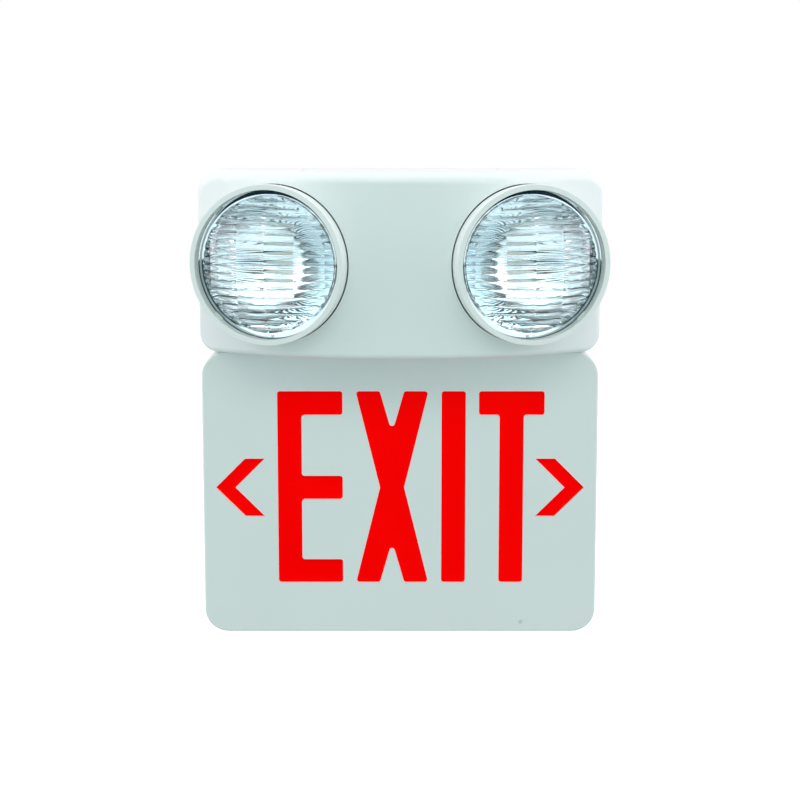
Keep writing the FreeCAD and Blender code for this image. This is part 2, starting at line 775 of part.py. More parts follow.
def make_upper_cover():
    """Bowed shell with two spherical dishes that the lamp heads turn in."""
    outside = cover_form("cover_outside", "0")
    inside = cover_form("cover_inside", "cover_wall")
    shell = cut("cover_shell", outside, inside)
    parts = [shell]
    tools = []
    for word, side in (("left", -1), ("right", 1)):
        centre = along_beam(side)
        ball = shape_of("Sphere", f"{word}_dish_back", centre, Radius="dish_radius + dish_wall")
        parts.append(common(f"{word}_dish_wall", ball, outside))
        parts.append(shape_of("Cylinder", f"{word}_dish_boss", along_beam(side, "-boss_face"),
                              Radius="boss_radius", Height="dish_wall + boss_height"))
        tools.append(shape_of("Sphere", f"{word}_dish_room", centre, Radius="dish_radius"))
    dished = cut("cover_dished", fuse("cover_filled", *parts), fuse("cover_rooms", *tools))

    seats = []
    bores = []
    for word, side in (("left", -1), ("right", 1)):
        column = shape_of("Cylinder", f"{word}_seat_column", along_beam(side, "-dish_radius - dish_wall / 2"),
                          Radius="seat_radius", Height="dish_radius / 2")
        ball = shape_of("Sphere", f"{word}_seat_ball", along_beam(side), Radius="dish_radius + dish_wall / 2")
        room = shape_of("Sphere", f"{word}_seat_room", along_beam(side), Radius="ball_radius + seat_play")
        seats.append(cut(f"{word}_seat", common(f"{word}_seat_cap", column, ball), room))
        bores.append(shape_of("Cylinder", f"{word}_stud_bore", along_beam(side, "-boss_face - boss_height"),
                              Radius="stud_radius + stud_play", Height="dish_radius / 2"))

    # Slots in the top wall for a bracket, a knock-out between them, two seam lines, and the wire gate
    for word, side in (("left", -1), ("right", 1)):
        bores.append(shape_of("Box", f"{word}_tab_slot",
                              at(f"{side} * tab_slot_spread / 2 - tab_slot_width / 2",
                                 "plate_thick + tab_slot_inset", "cover_top - 2 * cover_wall"),
                              Length="tab_slot_width", Width="tab_slot_depth", Height="3 * cover_wall"))
        bores.append(shape_of("Box", f"{word}_seam_line",
                              at(f"{side} * seam_spread / 2 - seam_line / 2",
                                 "plate_thick + seam_line_length", "cover_top - mark_depth"),
                              Length="seam_line", Width="seam_line_length", Height="cover_wall"))
    mark = at("0", "plate_thick + tab_slot_inset", "cover_top - mark_depth")
    ring = shape_of("Cylinder", "knockout_ring", mark, Radius="knockout_radius", Height="cover_wall")
    core = shape_of("Cylinder", "knockout_core", mark, Radius="knockout_radius - knockout_groove",
                    Height="cover_wall")
    bores.append(cut("knockout", ring, core))
    gate = at("-wire_gate_width / 2", "plate_thick + wire_gate_depth", "cover_bottom - cover_wall")
    bores.append(shape_of("Box", "cover_wire_gate", gate, Length="wire_gate_width",
                          Width="wire_gate_depth + plate_thick", Height="3 * cover_wall"))
    whole = fuse("cover_seated", dished, *seats)
    return node("upper_cover", cut("upper_cover", whole, fuse("cover_openings", *bores)))


# ---------------------------------------------------------------- lamp heads

def on_beam(distance):
    """A place on a lamp's own beam."""
    return f"placement(vector(0; 0; {distance}); rotation(0; 0; 0))"


def make_lamp_shell(word):
    """Ball-shaped bowl, bored for the lens, with a ledge, four catches and a slot for the tilt."""
    ball = shape_of("Sphere", f"{word}_ball", Radius="ball_radius", Angle1="-90",
                    Angle2="asin(ball_rim / ball_radius)")
    room = shape_of("Sphere", f"{word}_ball_room", Radius="shell_inside", Angle1="-90",
                    Angle2="asin(ledge_bottom / shell_inside)")
    hole = shape_of("Cylinder", f"{word}_ledge_hole", on_beam("ledge_bottom - overshoot"),
                    Radius="lip_bore - ledge_width", Height="ledge_thick + 2 * overshoot")
    bore = shape_of("Cylinder", f"{word}_lens_bore", on_beam("ledge_top"),
                    Radius="lip_bore", Height="ball_rim - ledge_top + overshoot")
    reach = "ball_radius * sin(tilt_range * 1deg)"
    width = "(stud_radius + slot_play)"
    back = "-ball_radius - overshoot"
    place = f"placement(vector(-{width}; -{reach}; {back}); rotation(0; 0; 0))"
    slot = shape_of("Box", f"{word}_slot", place, Length=f"2 * {width}", Width=f"2 * {reach}",
                    Height="ball_radius / 2")
    tools = [room, hole, bore, slot]
    for number, end in enumerate((-1, 1)):
        place = f"placement(vector(0; {end} * {reach}; {back}); rotation(0; 0; 0))"
        tools.append(shape_of("Cylinder", f"{word}_slot_end_{number}", place, Radius=width,
                              Height="ball_radius / 2"))
    catches = []
    for number in range(int(value("snap_count"))):
        turn = f"placement(vector(0; 0; 0); rotation(({number} + 0.5) * 360 / snap_count; 0; 0))"
        low = "lens_face + snap_gap"
        place = f"{turn} * placement(vector(lip_bore - snap_hold; -snap_width / 2; {low}); rotation(0; 0; 0))"
        catches.append(shape_of("Box", f"{word}_catch_{number}", place, Length="snap_hold + overshoot",
                                Width="snap_width", Height="snap_height"))
        low = "lens_face + snap_gap + snap_height"
        place = f"{turn} * placement(vector(lip_bore - overshoot; -snap_width / 2; {low}); rotation(0; 0; 0))"
        tools.append(shape_of("Box", f"{word}_window_{number}", place, Length="window_depth + overshoot",
                              Width="snap_width", Height="window_height"))
    bowl = cut(f"{word}_bowl", ball, fuse(f"{word}_shell_openings", *tools))
    return fuse(f"{word}_lamp_shell", bowl, *catches)


def make_lens(word):
    """Domed lens on a clear flange, with a key at top and bottom and level flutes on its inner face."""
    body = new_body(f"{word}_lens_blank")
    sketch = new_sketch(body, "XZ")
    polygon(sketch, [("0", "mirror_top"), ("lens_radius", "mirror_top"), ("lens_radius", "lens_face"),
                     ("field_radius", "lens_face"), ("field_radius", "dome_base"), ("0", "dome_base")])
    revolve(body, sketch)
    cap = shape_of("Sphere", f"{word}_lens_cap", on_beam("dome_centre"), Radius="dome_radius",
                   Angle1="asin((dome_base - dome_centre) / dome_radius)", Angle2="90")
    keys = []
    for number, end in enumerate((0, 180)):
        place = (f"placement(vector(0; 0; 0); rotation({end}; 0; 0)) * "
                 "placement(vector(-key_width / 2; field_radius - overshoot; mirror_top); rotation(0; 0; 0))")
        keys.append(shape_of("Box", f"{word}_lens_key_{number}", place, Length="key_width",
                             Width="lens_radius - field_radius + overshoot - key_inset",
                             Height="dome_base - mirror_top"))
    blank = fuse(f"{word}_lens_full", body, cap, *keys)
    hollow = [shape_of("Sphere", f"{word}_lens_room", on_beam("dome_centre - lens_thick"),
                       Radius="dome_radius")]
    arc = "(flute_width * flute_width / (8 * flute_depth) + flute_depth / 2)"
    for number in range(int(value("flute_count"))):
        step = f"({number} - (flute_count - 1) / 2) * flute_pitch"
        ring = f"sqrt(dome_radius * dome_radius - ({step}) * ({step}))"
        place = f"placement(vector(0; {step}; dome_centre - lens_thick); rotation(0; 0; 90))"
        hollow.append(shape_of("Torus", f"{word}_flute_{number}", place,
                               Radius1=f"{ring} + flute_depth - {arc}", Radius2=arc))
    column = shape_of("Cylinder", f"{word}_lens_column", on_beam("mirror_top - overshoot"),
                      Radius="field_radius - field_wall", Height="2 * lens_rise")
    inside = common(f"{word}_lens_inside", column, fuse(f"{word}_lens_hollow", *hollow))
    return cut(f"{word}_lens", blank, inside)


def make_reflector(word):
    """Thin deep bowl of a parabola, with a lip for the lens and a pad for the LED board."""
    body = new_body(f"{word}_reflector")
    sketch = new_sketch(body, "XZ")
    steps = 6
    bottom = "(mirror_neck * mirror_neck / (mirror_mouth * mirror_mouth))"
    shares = [f"({bottom} + (1 - {bottom}) * {step} / {steps})" for step in range(steps + 1)]
    drop = f"(mirror_depth / (1 - {bottom}))"
    bowl = [(f"mirror_mouth * sqrt({share})", f"mirror_top - {drop} * (1 - {share})") for share in shares]
    back = [(f"mirror_mouth * sqrt({share}) + mirror_wall",
             f"mirror_top - {drop} * (1 - {share}) - mirror_wall / 2") for share in reversed(shares[1:-1])]
    rim = [("lens_radius", "mirror_top"), ("lens_radius", "ledge_top"), ("mirror_mouth", "ledge_top")]
    pad_ring = [("mirror_pad_radius", "mirror_bottom"), ("mirror_pad_radius", "led_board_top"),
                ("mirror_neck", "led_board_top")]
    polygon(sketch, bowl + rim + back + pad_ring)
    revolve(body, sketch)
    sketch = new_sketch(body, "XY", "mirror_bottom")
    for end in (-1, 1):
        circle(sketch, f"{end} * small_screw_spread / 2", "0", "small_screw_radius + screw_play")
    pocket(body, sketch)
    return body


def make_led_board(word):
    body = new_body(f"{word}_led_board")
    sketch = new_sketch(body, "XY", "sink_top")
    circle(sketch, "0", "0", "led_board_radius")
    for end in (-1, 1):
        circle(sketch, f"{end} * small_screw_spread / 2", "0", "small_screw_radius + screw_play")
    pad(body, sketch, "led_board_thick")
    return body


def make_led(word):
    """Domed light source on the board."""
    body = new_body(f"{word}_led")
    sketch = new_sketch(body, "XY", "led_board_top")
    circle(sketch, "0", "0", "led_radius")
    pad(body, sketch, "led_height")
    top = value("led_board_top + led_height")
    fillet(body, "led_round", lambda edge: edge.BoundBox.ZMin > top - 0.01)
    return body


def make_heat_sink(word):
    """Round aluminium base with a row of fins behind it."""
    body = new_body(f"{word}_heat_sink")
    sketch = new_sketch(body, "XY", "fin_top")
    circle(sketch, "0", "0", "sink_radius")
    pad(body, sketch, "sink_base")
    sketch = new_sketch(body, "XY", "fin_top")
    middle = "(fin_count - 1) / 2"
    for number in range(int(value("fin_count"))):
        place = f"({number} - {middle}) * fin_pitch"
        reach = f"sqrt(sink_radius * sink_radius - (abs({place}) + fin_thick / 2)^2)"
        rectangle(sketch, f"-{reach}", reach, f"{place} - fin_thick / 2", f"{place} + fin_thick / 2")
    pad(body, sketch, "fin_height", Reversed=True)
    sketch = new_sketch(body, "XY", "sink_top")
    for end in (-1, 1):
        circle(sketch, f"{end} * small_screw_spread / 2", "0", "small_screw_radius + screw_play")
    pocket(body, sketch)
    return body


def make_small_screws(word):
    screws = []
    for number, end in enumerate((-1, 1)):
        place = f"placement(vector({end} * small_screw_spread / 2; 0; fin_top%s); rotation(0; 0; 0))"
        head = shape_of("Cylinder", f"{word}_lamp_screw_head_{number}", place % " - small_head_thick",
                        Radius="small_screw_head", Height="small_head_thick")
        shank = shape_of("Cylinder", f"{word}_lamp_screw_shank_{number}", place % "",
                         Radius="small_screw_radius", Height="small_screw_length")
        screws.append(fuse(f"{word}_lamp_screw_{number}", head, shank))
    return group(f"{word}_lamp_screws", screws)


def make_swivel_stud(word):
    """Hollow stud with a broad head, which the lamp's wires run through."""
    body = new_body(f"{word}_swivel_stud")
    sketch = new_sketch(body, "XZ")
    end = "-(nut_face + stud_proud)"
    polygon(sketch, [("stud_bore", end), ("stud_radius", end), ("stud_radius", "-cup_face"),
                     ("stud_head_radius", "-cup_face"), ("stud_head_radius", "stud_head_thick - cup_face"),
                     ("stud_bore", "stud_head_thick - cup_face")])
    revolve(body, sketch)
    return body


def make_friction_cup(word):
    """Washer with one spherical face, which clamps the bowl against its dish."""
    column = shape_of("Cylinder", f"{word}_cup_column",
                      on_beam("-cup_outside"),
                      Radius="cup_radius", Height="cup_thick")
    ball = shape_of("Sphere", f"{word}_cup_ball", Radius="cup_outside")
    hole = shape_of("Cylinder", f"{word}_cup_hole",
                    on_beam("-cup_outside - overshoot"),
                    Radius="stud_radius + stud_play", Height="cup_thick + 2 * overshoot")
    return cut(f"{word}_friction_cup", common(f"{word}_cup_blank", column, ball), hole)


def make_wave_washer(word):
    body = new_body(f"{word}_wave_washer")
    sketch = new_sketch(body, "XY", "-boss_face - washer_thick")
    circle(sketch, "0", "0", "washer_radius")
    circle(sketch, "0", "0", "stud_radius + stud_play")
    pad(body, sketch, "washer_thick")
    return body


def make_lock_nut(word):
    """Thin hexagon nut with chamfered corners."""
    prism = shape_of("Prism", f"{word}_nut_prism",
                     on_beam("-nut_face"),
                     Circumradius="nut_flats / sqrt(3)", Height="nut_thick")
    prism.Polygon = 6
    hole = shape_of("Cylinder", f"{word}_nut_hole",
                    on_beam("-nut_face - overshoot"),
                    Radius="stud_radius + screw_play", Height="nut_thick + 2 * overshoot")
    return cut(f"{word}_lock_nut", prism, hole)


def make_lamp(word, side):
    """One lamp head and the swivel that clamps it, all set in the lamp's own frame."""
    pieces = {
        "lamp_shell": make_lamp_shell(word),
        "lens": make_lens(word),
        "reflector": make_reflector(word),
        "led_board": make_led_board(word),
        "led": make_led(word),
        "heat_sink": make_heat_sink(word),
        "lamp_screws": make_small_screws(word),
        "swivel_stud": make_swivel_stud(word),
        "friction_cup": make_friction_cup(word),
        "wave_washer": make_wave_washer(word),
        "lock_nut": make_lock_nut(word),
    }
    for name, piece in pieces.items():
        piece.setExpression("Placement", linked(along_beam(side)))
        node(f"{word}_{name}", piece)


# ---------------------------------------------------------------- light box

def make_light_box():
    """Red diffuser, white tray and the two LED strips that light the letters."""
    body = new_body("red_diffuser")
    sketch = new_sketch(body, "XZ", "tray_face")
    rectangle(sketch, "-tray_half", "tray_half", "tray_bottom", "tray_top")
    pad(body, sketch, "diffuser_thick")
    node("red_diffuser", body)

    body = new_body("light_tray")
    sketch = new_sketch(body, "XZ", "tray_back")
    rectangle(sketch, "-tray_half", "tray_half", "tray_bottom", "tray_top")
    pad(body, sketch, "tray_face - tray_back")
    sketch = new_sketch(body, "XZ", "tray_face")
    rectangle(sketch, "-tray_half + tray_wall", "tray_half - tray_wall",
              "tray_bottom + tray_wall", "tray_top - tray_wall")
    pocket(body, sketch, "tray_face - tray_floor")
    sketch = new_sketch(body, "XZ", "tray_floor")
    for across, up in TRAY_SCREWS:
        circle(sketch, across, up, "screw_radius + screw_play")
    pocket(body, sketch)
    node("light_tray", body)

    leds = []
    for word, wall, away in (("upper", "tray_top - tray_wall", -1), ("lower", "tray_bottom + tray_wall", 1)):
        low = f"{wall} - strip_thick" if away < 0 else wall
        strip = shape_of("Box", f"{word}_led_strip", at("-strip_half", "strip_depth + strip_width / 2", low),
                         Length="2 * strip_half", Width="strip_width", Height="strip_thick")
        node(f"{word}_led_strip", strip)
        low = f"{wall} - strip_thick - strip_led_thick" if away < 0 else f"{wall} + strip_thick"
        for number in range(int(value("strip_led_count"))):
            across = f"({number} - (strip_led_count - 1) / 2) * strip_led_pitch - strip_led_width / 2"
            leds.append(shape_of("Box", f"{word}_sign_led_{number}",
                                 at(across, "strip_depth + strip_led_width / 2", low),
                                 Length="strip_led_width", Width="strip_led_width",
                                 Height="strip_led_thick"))
    node("sign_leds", group("sign_leds", leds))


def make_screws(name, places, seat, length):
    """Pan-head screws driven from the front, with their heads on the seat's depth."""
    screws = []
    tip = f"{seat} - ({length})"
    for number, (across, up) in enumerate(places):
        head = shape_of("Cylinder", f"{name}_head_{number}", at(across, seat, up, FORWARD),
                        Radius="screw_head_radius", Height="screw_head_thick")
        shank = shape_of("Cylinder", f"{name}_shank_{number}", at(across, tip, up, FORWARD),
                         Radius="screw_radius", Height=length)
        screws.append(fuse(f"{name}_{number}", head, shank))
    return node(name, group(name, screws))


# ---------------------------------------------------------------- electronics

def make_electronics():
    """Charger board with its parts, and the battery pack under its strap."""
    body = new_body("control_board")
    sketch = new_sketch(body, "XZ", "board_back")
    rectangle(sketch, "-board_width / 2", "board_width / 2", "board_bottom", "board_top")
    for across, up in BOARD_SCREWS:
        circle(sketch, across, up, "screw_radius + screw_play")
    pad(body, sketch, "board_thick")
    node("control_board", body)

    # Transformer: a laminated core with two windows and a coil round its middle limb
    body = new_body("transformer_core")
    sketch = new_sketch(body, "XZ", "core_depth")
    rectangle(sketch, "-core_width / 2", "core_width / 2", "core_bottom", "core_bottom + core_height")
    for side in (-1, 1):
        near, far = f"{side} * core_limb", f"{side} * (core_width / 2 - core_limb)"
        rectangle(sketch, near, far, "core_bottom + core_limb", "core_bottom + core_height - core_limb")
    pad(body, sketch, "core_stack")
    node("transformer_core", body)
    body = new_body("transformer_coil")
    low, high = "core_bottom + core_limb + coil_play", "core_bottom + core_height - core_limb - coil_play"
    sketch = new_sketch(body, "XY", low)
    reach = "(core_width / 2 - core_limb - coil_play)"
    inner = "(core_limb + coil_play)"
    rectangle(sketch, "-" + reach, reach, "-core_depth - core_stack - coil_wall", "-board_face")
    rectangle(sketch, "-" + inner, inner, "-core_depth - core_stack - coil_play", "-core_depth + coil_play")
    pad(body, sketch, f"{high} - ({low})")
    node("transformer_coil", body)

    relay = shape_of("Box", "transfer_relay",
                     at("-board_width / 2 + relay_inset", "board_face + relay_depth", "relay_bottom"),
                     Length="relay_width", Width="relay_depth", Height="relay_height")
    node("transfer_relay", relay)
    cans = []
    for number in range(2):
        across = f"capacitor_radius + {number} * capacitor_pitch"
        cans.append(shape_of("Cylinder", f"capacitor_{number}",
                             at(across, "board_face", "relay_bottom + relay_height / 2", FORWARD),
                             Radius="capacitor_radius", Height="capacitor_length"))
    node("capacitors", group("capacitors", cans))
    place = at("-connector_width / 2", "board_face + connector_depth", "board_bottom + connector_inset")
    plug = shape_of("Box", "wire_connector", place, Length="connector_width",
                    Width="connector_depth", Height="connector_height")
    node("wire_connector", plug)

    # Shrink-wrapped pack of cells side by side, wrapped as one sealed solid
    body = new_body("battery_pack")
    sketch = new_sketch(body, "XY", "battery_bottom")
    rectangle(sketch, "-battery_half", "battery_half", "-cell_depth - cell_radius",
              "-cell_depth + cell_radius")
    pad(body, sketch, "cell_length")
    fillet(body, "sleeve_round", lambda edge: runs_along(edge, Vector(0, 0, 1)))
    node("battery_pack", body)

    body = new_body("battery_strap")
    sketch = new_sketch(body, "XY", "strap_bottom")
    foot, outside = "strap_reach + strap_foot", "strap_reach"
    inside = "(strap_reach - strap_thick)"
    wall, flat, arch = "-plate_thick", "-plate_thick - strap_thick", "-strap_inside - strap_thick"
    polygon(sketch, [(f"-({foot})", wall), (f"-({foot})", flat), ("-" + outside, flat),
                     ("-" + outside, arch), (outside, arch), (outside, flat), (foot, flat),
                     (foot, wall), (inside, wall), (inside, "-strap_inside"),
                     ("-" + inside, "-strap_inside"), ("-" + inside, wall)])
    pad(body, sketch, "strap_width")
    sketch = new_sketch(body, "XZ", "plate_thick + strap_thick")
    for across, up in STRAP_SCREWS:
        circle(sketch, across, up, "screw_radius + screw_play")
    pocket(body, sketch)
    node("battery_strap", body)

    make_screws("board_screws", BOARD_SCREWS, "board_face", "board_thick + post_height")
    make_screws("strap_screws", STRAP_SCREWS, "plate_thick + strap_thick", "strap_thick + plate_thick")
    make_screws("tray_screws", TRAY_SCREWS, "tray_floor", "tray_floor - tray_screw_short")


# ---------------------------------------------------------------- test switch

def make_test_parts():
    """Push-to-test button, its switch and spring, and the status lamp beside it."""
    body = new_body("test_board")
    sketch = new_sketch(body, "XZ", "test_board_back")
    left = "test_x - test_board_reach"
    rectangle(sketch, left, f"{left} + test_board_width", "test_board_bottom",
              "test_board_bottom + test_board_height")
    for across, up in TEST_SCREWS:
        circle(sketch, across, up, "screw_radius + screw_play")
    pad(body, sketch, "board_thick")
    node("test_board", body)
    make_screws("test_screws", TEST_SCREWS, "test_board_face", "board_thick + test_board_lift")

    depth = "(2 * (test_depth - test_board_face))"
    case = shape_of("Box", "switch_case", at("test_x - switch_width / 2", f"test_board_face + {depth}",
                                             "switch_bottom"),
                    Length="switch_width", Width=depth, Height="switch_height")
    nub = shape_of("Cylinder", "switch_nub", at("test_x", "test_depth", "switch_bottom - nub_length"),
                   Radius="nub_radius", Height="nub_length")
    node("test_switch", fuse("test_switch", case, nub))

    body = new_body("test_button")
    sketch = new_sketch(body, "XZ")
    stem_top = "switch_bottom - nub_length - button_travel - nub_gap"
    polygon(sketch, [("0", "sign_bottom - button_out"), ("button_radius", "sign_bottom - button_out"),
                     ("button_radius", "flange_bottom"), ("button_flange", "flange_bottom"),
                     ("button_flange", "flange_top"), ("button_stem", "flange_top"),
                     ("button_stem", stem_top), ("0", stem_top)])
    revolve(body, sketch)
    low = value("sign_bottom - button_out")
    fillet(body, "button_edge", lambda edge: edge.BoundBox.ZMax < low + 0.01)
    body.setExpression("Placement", linked(at("test_x", "test_depth", "0")))
    node("test_button", body)

    # Coil spring of square wire between the flange and the switch, swept along a helix
    low = value("flange_top + spring_wire")
    high = value("switch_bottom - spring_wire")
    mean, half = value("spring_radius"), value("spring_wire / 2")
    helix = Part.makeHelix((high - low) / value("spring_turns"), high - low, mean)
    corners = [(-1, -1), (1, -1), (1, 1), (-1, 1), (-1, -1)]
    section = Part.makePolygon([Vector(mean + out * half, 0, up * half) for out, up in corners])
    spring = DOC.addObject("Part::Feature", "button_spring")
    spring.Shape = Part.Wire(helix.Edges).makePipeShell([section], True, True)
    spring.Placement = FreeCAD.Placement(Vector(value("test_x"), -value("test_depth"), low),
                                         FreeCAD.Rotation())
    node("button_spring", spring)

    body = new_body("pilot_light")
    sketch = new_sketch(body, "XZ")
    led_end = "test_board_face + pilot_led_length"
    rear, step, tip = f"{led_end} + pilot_gap", "sign_inside - pilot_flange_thick", "sign_depth + pilot_proud"
    polygon(sketch, [("0", rear), ("pilot_radius", rear), ("pilot_radius", step), ("pilot_flange", step),
                     ("pilot_flange", "sign_inside"), ("pilot_radius", "sign_inside"),
                     ("pilot_radius", tip), ("0", tip)])
    revolve(body, sketch)
    body.setExpression("Placement", linked(at("pilot_x", "0", "pilot_z", FORWARD)))
    node("pilot_light", body)
    node("pilot_led", shape_of("Cylinder", "pilot_led", at("pilot_x", "test_board_face", "pilot_z", FORWARD),
                               Radius="pilot_radius", Height="pilot_led_length"))


# ---------------------------------------------------------------- checks and files

def check_and_write():
    """Stop on any failed object or poor shape, then write each piece to its own file."""
    DOC.recompute()
    for thing in DOC.Objects:
        if "Invalid" in thing.State or "Error" in thing.State:
            raise RuntimeError(thing.Name + " failed: " + thing.getStatusString())
    for thing in NODES:
        shape = thing.Shape
        if shape.isNull() or not shape.isValid() or not shape.Solids:
            raise RuntimeError(thing.Label + " has no sound shape")
    os.makedirs("parts", exist_ok=True)
    for thing in NODES:
        thing.Shape.exportStep(f"parts/{thing.Label}.step")
        print(f"{thing.Label}: {len(thing.Shape.Solids)} solid(s), {thing.Shape.Volume:.0f} mm3")


make_back_plate()
make_sign_face()
make_upper_cover()
make_lamp("left", -1)
make_lamp("right", 1)
make_light_box()
make_electronics()
make_test_parts()
check_and_write()
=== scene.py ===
# %% [markdown]
# # An emergency exit light
# The object hangs on a wall: a flat sign box with a cut-out EXIT in front of a glowing red
# sheet, and above it a bowed housing with two ball-shaped lamp heads. The solid pieces come
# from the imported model. Here they get their real finishes, and the optical parts of the lamps,
# whose fine ribs decide how they glitter, are modelled again in detail.

# %% Load the frame
import bmesh
import bpy
import json
import math
from mathutils import Matrix, Vector


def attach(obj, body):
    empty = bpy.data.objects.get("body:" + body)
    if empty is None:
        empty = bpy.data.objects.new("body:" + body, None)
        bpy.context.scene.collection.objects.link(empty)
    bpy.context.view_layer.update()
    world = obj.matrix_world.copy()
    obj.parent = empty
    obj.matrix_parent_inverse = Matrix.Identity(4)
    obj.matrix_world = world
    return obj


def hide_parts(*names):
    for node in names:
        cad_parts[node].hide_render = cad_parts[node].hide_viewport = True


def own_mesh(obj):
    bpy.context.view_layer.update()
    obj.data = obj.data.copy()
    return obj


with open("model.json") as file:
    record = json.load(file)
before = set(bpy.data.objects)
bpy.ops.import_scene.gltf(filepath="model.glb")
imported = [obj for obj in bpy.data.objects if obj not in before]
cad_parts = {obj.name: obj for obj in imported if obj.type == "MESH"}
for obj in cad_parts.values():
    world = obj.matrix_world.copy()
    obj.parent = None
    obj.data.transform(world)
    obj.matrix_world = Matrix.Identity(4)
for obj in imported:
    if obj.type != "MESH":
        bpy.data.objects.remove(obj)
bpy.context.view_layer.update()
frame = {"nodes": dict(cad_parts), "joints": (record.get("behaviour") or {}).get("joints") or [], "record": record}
nodes = frame["nodes"]
MM = 0.001

# %% [markdown]
# Colours are written as the sRGB hex values that a designer would pick, and Blender's shaders
# want linear light. One function turns one into the other, so that no colour is guessed twice.

# %% Colour
def linear(hex_colour):
    """An sRGB hex colour as the linear RGBA that a shader socket takes."""
    channels = [int(hex_colour[i:i + 2], 16) / 255 for i in (1, 3, 5)]
    curve = [c / 12.92 if c <= 0.04045 else ((c + 0.055) / 1.055) ** 2.4 for c in channels]
    return (*curve, 1.0)


print("mid grey #808080 is", [round(c, 3) for c in linear("#808080")[:3]])

# %% [markdown]
# A material is a small tree of nodes. This helper adds one node with its settings, and joins
# its inputs to numbers, colours or the outputs of other nodes. Every finish below uses it. The
# node that mixes two colours has sockets for numbers and vectors as well, all with the same
# names. Those for colours are therefore given by their places: three that go in, and the one
# that comes out.

# %% A helper for shader nodes
SHARE, UNDER, OVER = 0, 6, 7
MIXED = 2


def add(tree, kind, inputs=None, **settings):
    """A shader node with its settings made and its inputs filled or linked."""
    made = tree.nodes.new(kind)
    for name, value in settings.items():
        setattr(made, name, value)
    for name, value in (inputs or {}).items():
        socket = made.inputs[name]
        if isinstance(value, bpy.types.NodeSocket):
            tree.links.new(value, socket)
        else:
            socket.default_value = value
    return made


def finish(name):
    """A new material and its tree, emptied of nodes."""
    material = bpy.data.materials.new(name)
    material.use_nodes = True
    material.node_tree.nodes.clear()
    return material, material.node_tree


def surface(tree, shader):
    """Send a shader to the material's output."""
    add(tree, "ShaderNodeOutputMaterial", {"Surface": shader.outputs[0]})


print("places of the colour sockets: in", (SHARE, UNDER, OVER), "out", MIXED)

# %% [markdown]
# The housing is white ABS, injected into a steel mould whose face was spark-eroded to a fine
# grain. That grain is about 0.3 mm across: too small to see as bumps, but it spreads the
# highlights so that the plastic looks satin rather than glossy. A slow, faint change of tone
# stands for the flow of the melt and keeps the large faces from looking like paper. One wave of
# a noise holds a light spot and a dark one, so it is twice as long as the spot is wide.

# %% White moulded ABS
GRAIN, GRAIN_DEPTH, FLOW = 0.3, 0.05, 45


def moulded_abs():
    material, tree = finish("white_moulded_abs")
    place = add(tree, "ShaderNodeTexCoord")
    grain = add(tree, "ShaderNodeTexNoise", {"Vector": place.outputs["Object"],
                                             "Scale": 1 / (2 * GRAIN * MM), "Detail": 2.0})
    flow = add(tree, "ShaderNodeTexNoise", {"Vector": place.outputs["Object"],
                                            "Scale": 1 / (2 * FLOW * MM), "Detail": 1.0})
    tone = add(tree, "ShaderNodeMix", {SHARE: flow.outputs["Fac"], UNDER: linear("#ebefee"),
                                       OVER: linear("#eff3f1")}, data_type="RGBA")
    bump = add(tree, "ShaderNodeBump", {"Height": grain.outputs["Fac"], "Strength": 0.12,
                                        "Distance": GRAIN_DEPTH * MM})
    plastic = add(tree, "ShaderNodeBsdfPrincipled",
                  {"Base Color": tone.outputs[MIXED], "Roughness": 0.42, "IOR": 1.53,
                   "Normal": bump.outputs["Normal"]})
    surface(tree, plastic)
    return material


WHITE_ABS = moulded_abs()
print(WHITE_ABS.name, "has", len(WHITE_ABS.node_tree.nodes), "nodes")

# %% [markdown]
# Behind the letters is a sheet of translucent red acrylic, lit from behind by two rows of
# light-emitting diodes. What the eye gets is an even red that is brighter than red paint could
# be. A base colour alone would be too dull, so the sheet also gives light of its own.

# %% Lit red acrylic
CLOUD, GLOW = 30, 0.3


def lit_red_acrylic():
    material, tree = finish("lit_red_acrylic")
    place = add(tree, "ShaderNodeTexCoord")
    cloud = add(tree, "ShaderNodeTexNoise", {"Vector": place.outputs["Object"],
                                             "Scale": 1 / (2 * CLOUD * MM), "Detail": 1.0})
    tone = add(tree, "ShaderNodeMix", {SHARE: cloud.outputs["Fac"], UNDER: linear("#fa0002"),
                                       OVER: linear("#ff0603")}, data_type="RGBA")
    sheet = add(tree, "ShaderNodeBsdfPrincipled",
                {"Base Color": tone.outputs[MIXED], "Roughness": 0.5, "Specular IOR Level": 0.0,
                 "Emission Color": tone.outputs[MIXED], "Emission Strength": GLOW})
    surface(tree, sheet)
    return material


RED_ACRYLIC = lit_red_acrylic()
print(RED_ACRYLIC.name, "gives", GLOW, "of its own colour as light")

# %% [markdown]
# The lenses are clear polycarbonate, which bends light a little more than glass does. The
# mirrors behind them are plastic bowls with a film of aluminium evaporated onto them: a true
# mirror, slightly blue against the white plastic. Neither is perfectly flat. The melt leaves a
# slow ripple in the lens, and the film follows a faint haze of the bowl under it.

# %% Clear polycarbonate and vacuum metallising
RIPPLE, RIPPLE_DEPTH = 4.5, 0.3
HAZE, HAZE_DEPTH = 6, 0.4


def clear_polycarbonate():
    material, tree = finish("clear_polycarbonate")
    place = add(tree, "ShaderNodeTexCoord")
    ripple = add(tree, "ShaderNodeTexNoise", {"Vector": place.outputs["Object"],
                                              "Scale": 1 / (2 * RIPPLE * MM), "Detail": 1.0})
    bump = add(tree, "ShaderNodeBump", {"Height": ripple.outputs["Fac"], "Strength": 0.05,
                                        "Distance": RIPPLE_DEPTH * MM})
    lens = add(tree, "ShaderNodeBsdfPrincipled",
               {"Base Color": linear("#f4fbfc"), "Roughness": 0.0, "IOR": 1.585,
                "Transmission Weight": 1.0, "Normal": bump.outputs["Normal"]})
    surface(tree, lens)
    return material


